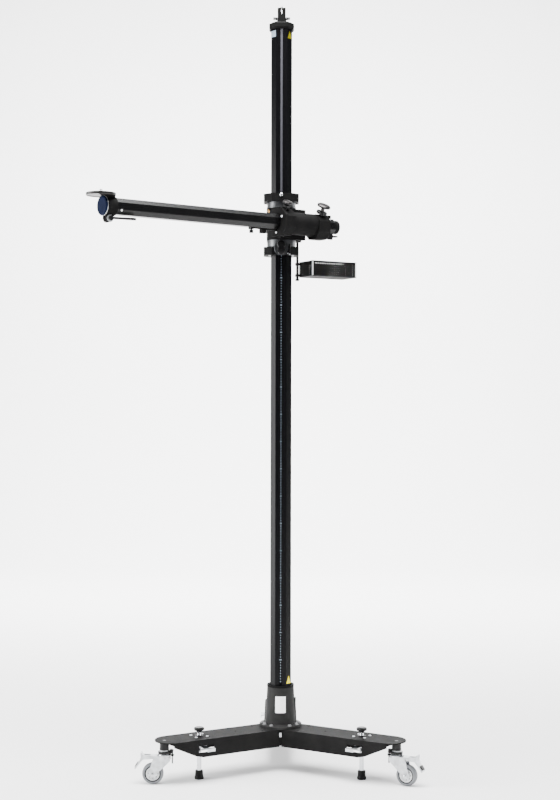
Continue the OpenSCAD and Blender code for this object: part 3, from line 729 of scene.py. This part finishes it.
def collar_catch():
    """The catch beside the column lock, and its pins."""
    catch = bmesh.new()
    block(catch, (27.5, COLLAR_FRONT - 9, LOCK_Z - 21), (34, COLLAR_FRONT - 0.2, LOCK_Z + 14), 1.6)
    to_piece(catch, "collar_catch", PLASTIC, "carriage")
    pins = bmesh.new()
    for x, z in ((24, -20), (30.7, -23.5)):
        added(pins, shift(x, COLLAR_FRONT - 0.1, LOCK_Z + z) @ FACING_FRONT, lathe,
              [(0, 0), (2.4, 0), (2.4, 6), (1.6, 7.4), (0, 7.6)], steps=20)
    to_piece(pins, "collar_pins", ZINC, "carriage")


def anchor_bolt():
    """The bolt that holds the lifting band's end."""
    anchor = bmesh.new()
    low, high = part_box("band_anchor")
    anchor_z = (low[2] + high[2]) / 2 / MM
    added(anchor, shift(0, low[1] / MM + 0.8, anchor_z) @ FACING_FRONT, lathe,
          [(0, 0), (6.6, 0), (6.8, 1), (6.2, 3), (4.4, 4.6), (2.4, 5.2), (2.2, 4.2), (0, 4.2)], steps=32)
    to_piece(anchor, "anchor_bolt", STEEL, "carriage")


def bearing_rims():
    """Bright rims under and over the drum."""
    rims = bmesh.new()
    for z in (DRUM_LOW - 5.2, DRUM_HIGH + 1.2):
        lathe(rims, [(52.3, z), (53.6, z), (54, z + 0.5), (54, z + 3.5), (53.6, z + 4), (52.3, z + 4)],
              steps=96)
    to_piece(rims, "bearing_rims", SLEEVE_STEEL, "carriage")


def carriage():
    column_lock()
    collar_catch()
    anchor_bolt()
    bearing_rims()


# ---- Turret and arm head ----

KNOB_TILT = spin(-30, "X")      # the arm's clamp knobs lean away from the column
KNOB_RISE = 33                  # from the arm's axis to the foot of a clamp screw
FRAME_FRONT = 96                # the front frame's face, along the arm
TRAY_PIVOT = JOINTS["tray_swing"]["pos_m"]
TRAY_BAR_HEADING = math.degrees(math.atan2(TRAY_PIVOT[1], TRAY_PIVOT[0]))
TRAY_BAR_SCREWS = (6, 102)      # how far below the bar's top its pairs of screws are


def clamp_frame(s):
    return arm_frame(s) @ KNOB_TILT @ shift(0, 0, KNOB_RISE * MM)


def clamp_grip(name, s, r, height, barrel):
    """A knurled black knob with a domed steel cap and a fluted barrel, given as radius, foot and top."""
    here = clamp_frame(s)

    def knurl(angle, q):
        return 1 + (0.03 * math.cos(20 * angle) if q > 0.8 * r else 0)

    def flutes(angle, q):
        return 1 + (0.06 * math.cos(10 * angle) if q > 0.8 * barrel[0] else 0)

    z = 38      # where the knob sits on its stem
    grip = bmesh.new()
    lathe(grip, [(0, z), (r * 0.5, z), (r * 0.55, z + 1), (r * 0.8, z + 3), (r * 0.96, z + 4), (r, z + 5),
                 (r, z + height * 0.62), (r * 0.94, z + height * 0.68), (0, z + height * 0.68)], steps=160,
          waist=knurl)
    wide, low, high = barrel
    lathe(grip, [(0, low), (wide * 0.92, low), (wide, low + 1.5), (wide, high - 1.5), (wide * 0.92, high),
                 (0, high)], steps=120, waist=flutes)
    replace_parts(to_piece(grip, name + "_grip", PLASTIC, name, here), name)
    cap = bmesh.new()
    seat = z + height * 0.66
    lathe(cap, [(0, seat), (r * 0.95, seat), (r * 0.98, seat + 0.6), (r * 0.9, seat + 2.6),
                (r * 0.6, seat + 4.2), (r * 0.3, seat + 4.8), (0, seat + 4.9)], steps=64)
    to_piece(cap, name + "_cap", SATIN_STEEL, name, here)
    stem = bmesh.new()
    lathe(stem, [(0, 0.4), (4, 0.4), (4, high + 0.1), (6.8, high + 0.1), (7, high + 0.3), (7, z - 0.1),
                 (0, z - 0.1)], steps=40)
    to_piece(stem, name + "_stem", SATIN_STEEL, name, here)


def drum_screws():
    """Brass screws round the drum, near its upper and lower edges."""
    brass = bmesh.new()
    upper, lower = DRUM_HIGH - 11, DRUM_LOW + 8
    for a, z in ((-145, upper), (-35, upper), (-35, lower), (90, upper), (90, lower)):
        place = spin(a, "Z") @ shift(53.7, 0, z) @ ALONG_X
        added(brass, place, prism, hexagon(12), 0, 4.5, 0.6)
        added(brass, place @ shift(0, 0, 4.4), lathe, [(0, 0), (4.4, 0), (4.4, 2.6), (3.4, 3.4), (0, 3.4)],
              steps=24)
    to_piece(brass, "drum_screws", BRASS, "turret")


def frame_screws():
    """The three pale screws of the front frame."""
    dots = bmesh.new()
    for n, z in ((34, 16.7), (1.1, -37.5), (-34, 16.7)):
        added(dots, shift(FRAME_FRONT, n, z) @ ALONG_X, pan_screw, 3.8, 2.6)
    to_piece(dots, "frame_screws", HUB, "turret", arm_frame())


def collar_lugs():
    """The lugs behind the rear collar."""
    back = bmesh.new()
    block(back, (-146, -14, 28.6), (-118, 14, 40.5), 1.6)
    block(back, (-150, -11, -45), (-118, 11, -30), 1.6)
    block(back, (-182, -9, -37), (-146, 9, -31.5), 1.2)
    to_piece(back, "collar_lugs", CAST, "turret", arm_frame())


def collar_thumbscrew():
    """The ribbed thumbscrew under the rear collar."""
    thumb = bmesh.new()

    def ribs(angle, r):
        return 1 + (0.13 * math.cos(6 * angle) if r > 9 else 0)

    added(thumb, shift(-133, 11, -38) @ spin(-90, "X"), lathe,
          [(0, 0), (5, 0), (5, 6), (11, 7), (13, 9), (13, 17), (11, 19.5), (0, 19.5)], steps=96, waist=ribs)
    to_piece(thumb, "collar_thumbscrew", PLASTIC, "turret", arm_frame())


def tray_bar_trim():
    """The tray bar's screws, the cap over its pivot and its tip."""
    bracket = bmesh.new()
    low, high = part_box("tray_bar")
    bar_top = high[2] / MM
    for drop in TRAY_BAR_SCREWS:
        for side in (-7, 7):
            place = spin(TRAY_BAR_HEADING, "Z") @ shift(67.8, side, bar_top - drop) @ ALONG_X
            added(bracket, place, socket_screw, 2.8, 2.2)
    x, y = TRAY_PIVOT[0] / MM, TRAY_PIVOT[1] / MM
    lathe(bracket, [(0, 12), (5.4, 12), (5.8, 12.6), (5.8, 16), (4.8, 17.4), (0, 17.6)],
          (x, y, bar_top - TRAY_BAR_SCREWS[1] - 6), 32)
    to_piece(bracket, "bracket_screws", PLAIN_STEEL, "turret")
    tip = bmesh.new()
    lathe(tip, [(0, -9), (5.5, -9), (7.6, -7.6), (7.8, -4), (7, -2), (5.2, -0.4), (0, -0.4)],
          (x, y, low[2] / MM), 40)
    to_piece(tip, "tray_bar_tip", PLASTIC, "turret")


def plunger_grip():
    """The knurled grip of the plunger under the arm."""
    puller = bmesh.new()
    base_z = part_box("plunger")[0][2] / MM - ROLL.z / MM

    def fine(angle, r):
        return 1 + (0.04 * math.cos(18 * angle) if r > 6.4 else 0)

    lathe(puller, [(0, -0.6), (5.6, -0.6), (6.9, 0.6), (6.9, 8.6), (6.6, 9.8), (0, 9.8)], (206, 0, base_z),
          108, fine)
    to_piece(puller, "plunger_grip", PLASTIC, "plunger", arm_frame())


def turret():
    clamp_grip("head_knob", 74, 18, 14, (13, 25, 37.5))
    clamp_grip("rear_knob", -92, 24.5, 15, (19, 15, 25))
    drum_screws()
    frame_screws()
    collar_lugs()
    collar_thumbscrew()
    tray_bar_trim()
    plunger_grip()


# ---- Arm and camera platform ----

PLATFORM_REACH = 815    # the platform's middle, along the arm
EARS_REACH = 788        # the ears of its clamp, along the arm


def station(node):
    """How far along the arm the middle of a node is."""
    low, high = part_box(node)
    return Vector(((low[0] + high[0]) / 2, (low[1] + high[1]) / 2, 0)).dot(ARM_DIR) / MM


def arm():
    screws = bmesh.new()
    added(screws, shift(752, 26.9, -14.2) @ spin(-112, "X"), pan_screw, 3.6, 2.2)
    added(screws, shift(752, -26.9, -14.2) @ spin(112, "X"), pan_screw, 3.6, 2.2)
    to_piece(screws, "arm_screws", HUB, "arm", arm_frame())
    seat = station("platform_end_cap") - 4
    seam = bmesh.new()
    added(seam, shift(seat - 1, 0, 0) @ ALONG_X, lathe,
          [(22.2, 0.8), (33.2, 0.8), (33.8, 1.1), (33.8, 2.1), (33.2, 2.4), (22.2, 2.4)], steps=72)
    to_piece(seam, "cap_seam", ZINC, "arm", arm_frame())
    cap = bmesh.new()
    added(cap, shift(seat, 0, 0) @ ALONG_X, lathe,
          [(0, 1.2), (32.9, 1.2), (33.2, 1.8), (33.2, 4.0), (32.2, 6.0), (29.6, 7.6), (24, 8.1), (22.4, 7.7),
           (12, 8.1), (0, 8.2)], steps=72)
    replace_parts(to_piece(cap, "end_cap", BLUE, "arm", arm_frame()), "platform_end_cap")


def platform_disc(middle, top_z):
    """The round platform, with grooves turned in its top."""
    plate = bmesh.new()
    profile = [(4.1, 0.2), (36, 0.2), (36.6, 0.8), (37.4, 0.8), (38, 0.1), (47.6, 0.1), (48.8, 0.9),
               (49, 1.6), (49, top_z - 1.4), (48.4, top_z - 0.3), (47.6, top_z)]
    for r in (45, 41, 37, 33, 29, 25, 21, 17, 13):
        profile += [(r + 0.5, top_z), (r, top_z - 0.45), (r - 0.5, top_z)]
    profile += [(7.4, top_z), (6.9, top_z - 1.2), (4.1, top_z - 1.2)]
    lathe(plate, profile + [profile[0]], middle, 96)
    bmesh.ops.remove_doubles(plate, verts=plate.verts, dist=0.001)
    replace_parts(to_piece(plate, "platform_disc", PLATE, "platform", arm_frame(), 24),
                "platform_plate")


def platform_rim(middle, top_z):
    rim = bmesh.new()
    lathe(rim, [(47.8, -1.6), (48.9, -1.6), (49.5, -1), (49.5, top_z - 1.2), (48.9, top_z - 0.6),
                (47.8, top_z - 0.6), (47.8, -1.6)], middle, 96)
    to_piece(rim, "platform_rim", RIM, "platform", arm_frame())


def camera_thread(middle, top_z):
    """The camera screw, standing in the middle of the platform."""
    screw = bmesh.new()
    added(screw, shift(*middle), threaded, CAMERA_SCREW_R, 0.3, top_z + 13, CAMERA_SCREW_PITCH, 0.75)
    lathe(screw, [(4.2, top_z - 1.1), (6.6, top_z - 1.1), (6.6, top_z - 0.2), (4.2, top_z - 0.2)], middle, 32)
    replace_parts(to_piece(screw, "camera_thread", STEEL, "platform", arm_frame()),
                "camera_screw")


def ear_washers(ears_z):
    """Washers on both ears of the platform's clamp."""
    bits = bmesh.new()
    outer = shift(EARS_REACH, 13, ears_z) @ spin(-90, "X")
    added(bits, outer, lathe, [(4.3, 0.1), (11.4, 0.1), (12, 0.7), (11.4, 2), (4.3, 2)], steps=40)
    added(bits, outer @ shift(0, 0, 2), lathe, [(4.3, 0), (9, 0), (9, 1.6), (4.3, 1.6)], steps=40)
    back = shift(EARS_REACH, -13, ears_z) @ spin(90, "X")
    added(bits, back, lathe, [(4.3, 0.1), (9, 0.1), (9, 0.9), (4.3, 0.9)], steps=40)
    to_piece(bits, "ear_washers", ZINC, "platform", arm_frame())


def lever_grip(ears_z):
    """The clamp lever: its hub, its stick, the bolt through the ears and the nut."""
    lever = bmesh.new()
    hub = shift(EARS_REACH, 20, ears_z) @ spin(-90, "X")
    added(lever, hub, lathe, [(0, -3.2), (8, -3.2), (8.4, -2.6), (8.4, 2.6), (7.6, 3.4), (5, 3.6),
                              (4.6, 2.8), (0, 2.8)], steps=48)
    stick = [(0, 4), (4.2, 4), (4.2, 40), (4.4, 60), (4.6, 86), (4.2, 93), (3.2, 94.6), (0, 95)]
    added(lever, shift(EARS_REACH, 20, ears_z) @ spin(-88.5, "Y"), lathe, stick, steps=32)
    added(lever, shift(EARS_REACH, 0, ears_z) @ spin(90, "X"), lathe,
          [(0, -20), (4, -20), (4, 13), (0, 13)], steps=32)
    added(lever, shift(EARS_REACH, -14.2, ears_z) @ spin(90, "X"), prism, hexagon(13), 0, 6.8, 0.5)
    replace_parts(to_piece(lever, "lever_grip", PLASTIC, "lever", arm_frame()), "clamp_lever")


def platform():
    low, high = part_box("platform_plate")
    middle = (PLATFORM_REACH, 0, low[2] / MM - ROLL.z / MM)
    top_z = (high[2] - low[2]) / MM
    platform_disc(middle, top_z)
    platform_rim(middle, top_z)
    camera_thread(middle, top_z)
    ears_z = JOINTS["clamp_lever_turn"]["pos_m"][2] / MM - ROLL.z / MM
    ear_washers(ears_z)
    lever_grip(ears_z)


# ---- Tray ----

TRAY_LENGTH, TRAY_DEPTH, TRAY_HEADING = 190, 94, 30
SHEET = 1.6
WIDE_HOLES, TALL_HOLES = (10, 3.6), (7.6, 3.2)      # pitch and size of the perforation
SIDE_MARGIN, TOP_MARGIN = 9, 7
TRAY_START = 10     # from the pivot to the basket's near end


def is_hole(i, k):
    """Between the cuts of a lattice, every second cell both ways is a hole."""
    return i % 2 == 1 and k % 2 == 1


def perforated(bm, xs, zs):
    """A sheet standing in X and Z, with a hole in every second cell both ways."""
    verts = {}

    def vert(i, k, side):
        if (i, k, side) not in verts:
            verts[i, k, side] = bm.verts.new((xs[i], side * SHEET, zs[k]))
        return verts[i, k, side]

    def solid(i, k):
        return 0 <= i < len(xs) - 1 and 0 <= k < len(zs) - 1 and not is_hole(i, k)

    for i in range(len(xs) - 1):
        for k in range(len(zs) - 1):
            if not solid(i, k):
                continue
            corners = [(i, k), (i + 1, k), (i + 1, k + 1), (i, k + 1)]
            bm.faces.new([vert(a, b, 0) for a, b in corners])
            bm.faces.new([vert(a, b, 1) for a, b in reversed(corners)])
            for edge, (di, dk) in enumerate(((0, -1), (1, 0), (0, 1), (-1, 0))):
                if not solid(i + di, k + dk):
                    a, b = corners[edge], corners[(edge + 1) % 4]
                    bm.faces.new((vert(*a, 0), vert(*b, 0), vert(*b, 1), vert(*a, 1)))


def lattice(length, margin, pitch, hole):
    """The cut positions of a centred row of holes, from one end of the sheet to the other."""
    count = int((length - 2 * margin + pitch - hole) // pitch)
    start = (length - (count - 1) * pitch - hole) / 2
    cuts = [0.0]
    for k in range(count):
        cuts += [start + k * pitch, start + k * pitch + hole]
    return cuts + [length]


def panel(bm, matrix, length, height):
    xs = lattice(length, SIDE_MARGIN, *WIDE_HOLES)
    zs = lattice(height, TOP_MARGIN, *TALL_HOLES)
    added(bm, matrix, perforated, xs, zs)


def tray_panels(here, x0, length, depth, height):
    """Four perforated sides and a floor, with two hinge blocks round the tray's bar."""
    basket = bmesh.new()
    panel(basket, shift(x0, -depth, 0), length, height)
    panel(basket, shift(x0, -SHEET, 0), length, height)
    for x in (x0, x0 + length - SHEET):
        panel(basket, shift(x + SHEET, -depth, 0) @ spin(90, "Z"), depth, height)
    floor_xs = lattice(length, SIDE_MARGIN, *WIDE_HOLES)
    floor_zs = [-z for z in reversed(lattice(depth, SIDE_MARGIN, *WIDE_HOLES))]
    added(basket, shift(x0, 0, SHEET + 0.1) @ spin(-90, "X"), perforated, floor_xs, floor_zs)
    for z in (2, height - 12):
        block(basket, (0.5, -7, z), (x0 + SHEET, -1, z + 9), 0.6)
        lathe(basket, [(5.1, z), (8.6, z), (9, z + 0.5), (9, z + 8.5), (8.6, z + 9), (5.1, z + 9),
                       (5.1, z)], steps=40)
    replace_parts(to_piece(basket, "tray_panels", POWDER, "tray", here), "tray_basket")


def tray_rims(here, corners, height):
    """Round beads along the upper and lower edges."""
    rim = bmesh.new()
    for (xa, ya), (xb, yb) in zip(corners, corners[1:] + corners[:1]):
        span = math.hypot(xb - xa, yb - ya)
        turn = math.degrees(math.atan2(yb - ya, xb - xa))
        for z in (0.6, height - 0.6):
            added(rim, shift(xa, ya, z) @ spin(turn, "Z") @ ALONG_X, lathe,
                  [(0, -1.8), (1.8, -1.8), (1.8, span + 1.8), (0, span + 1.8)], steps=16)
    to_piece(rim, "tray_rims", PLASTIC, "tray", here)


def tray_corner_highlights(here, corners, height):
    """Pale posts at the four corners; their white is a painted highlight along the basket's corner edges."""
    posts = bmesh.new()
    for x, y in corners:
        lathe(posts, [(0, 2), (2.4, 2), (2.4, height - 2), (0, height - 2)], (x, y, 0), 20)
    to_piece(posts, "tray_corner_highlights", HUB, "tray", here)


def tray():
    low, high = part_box("tray_basket")
    heading = math.radians(TRAY_HEADING)
    out = Vector((math.cos(heading), math.sin(heading), 0))
    here = axes(out, UP.cross(out), UP, (TRAY_PIVOT[0], TRAY_PIVOT[1], low[2]))
    x0, length, depth, height = TRAY_START, TRAY_LENGTH, TRAY_DEPTH, (high[2] - low[2]) / MM
    corners = [(x0, -depth), (x0 + length, -depth), (x0 + length, 0), (x0, 0)]
    tray_panels(here, x0, length, depth, height)
    tray_rims(here, corners, height)
    tray_corner_highlights(here, corners, height)


# ---- Stage ----

def matte(name, tone):
    mat, tree, shader, coords = node_tree(name)
    tree.links.new(ramp(tree, noise(tree, coords, 1.5), (tone - 0.01,) * 3, (tone,) * 3),
                   shader.inputs["Base Color"])
    shader.inputs["Roughness"].default_value = 0.9
    shader.inputs["Specular IOR Level"].default_value = 0.1
    return mat


def sweep_mesh(name, width, front, back, radius, height, steps=24):
    """A floor that curves up into a backdrop."""
    profile = [(front, 0.0), (back - radius, 0.0)]
    for k in range(1, steps + 1):
        a = math.pi / 2 * k / steps
        profile.append((back - radius + radius * math.sin(a), radius - radius * math.cos(a)))
    profile.append((back, height))
    bm = bmesh.new()
    rows = [[bm.verts.new((x, y, z)) for y, z in profile] for x in (-width / 2, width / 2)]
    for k in range(len(profile) - 1):
        bm.faces.new((rows[0][k], rows[1][k], rows[1][k + 1], rows[0][k + 1])).smooth = True
    mesh = bpy.data.meshes.new(name)
    bm.to_mesh(mesh)
    bm.free()
    return mesh


def stage():
    sweep = sweep_mesh("studio_floor", width=24, front=-9, back=9, radius=3, height=9)
    floor = bpy.data.objects.new("studio_floor", sweep)
    bpy.context.collection.objects.link(floor)
    floor.data.materials.append(matte("studio_paper", 0.86))


def softbox(name, place, target, size, power):
    """A rectangular light at a place, turned to face a target."""
    data = bpy.data.lights.new(name, "AREA")
    data.shape = "RECTANGLE"
    data.size, data.size_y = size
    data.energy = power
    light = bpy.data.objects.new(name, data)
    light.location = place
    light.rotation_euler = (Vector(target) - Vector(place)).to_track_quat("-Z", "Y").to_euler()
    bpy.context.collection.objects.link(light)


def lights():
    softbox("left_box", (-3.4, -0.6, 1.2), (0, 0, 0.9), (1.4, 3.0), 330)
    softbox("right_box", (3.2, 2.0, 1.7), (0, 0, 1.4), (1.2, 3.4), 90)
    softbox("low_box", (3.4, -1.4, 0.5), (-0.3, -0.2, 0.12), (1.2, 0.8), 70)
    softbox("top_box", (0, -1.0, 4.8), (0, 0, 0), (3.5, 3.5), 1000)
    softbox("back_box", (0, 3.5, 4.4), (0, 7.5, 1.6), (8, 1.8), 2450)
    world = bpy.data.worlds.new("studio")
    world.use_nodes = True
    world.node_tree.nodes["Background"].inputs["Color"].default_value = (0.95, 0.96, 1.0, 1)
    world.node_tree.nodes["Background"].inputs["Strength"].default_value = 0.3
    bpy.context.scene.world = world


def camera():
    data = bpy.data.cameras.new("camera")
    data.sensor_width = 36
    data.lens = 64.1
    view = bpy.data.objects.new("camera", data)
    view.location = (-0.0037, -5.252, 1.352)
    view.rotation_euler = (math.pi / 2, -0.0018, 0)
    bpy.context.collection.objects.link(view)
    bpy.context.scene.camera = view


base()
casters()
column()
top()
carriage()
turret()
arm()
platform()
tray()
stage()
lights()
camera()
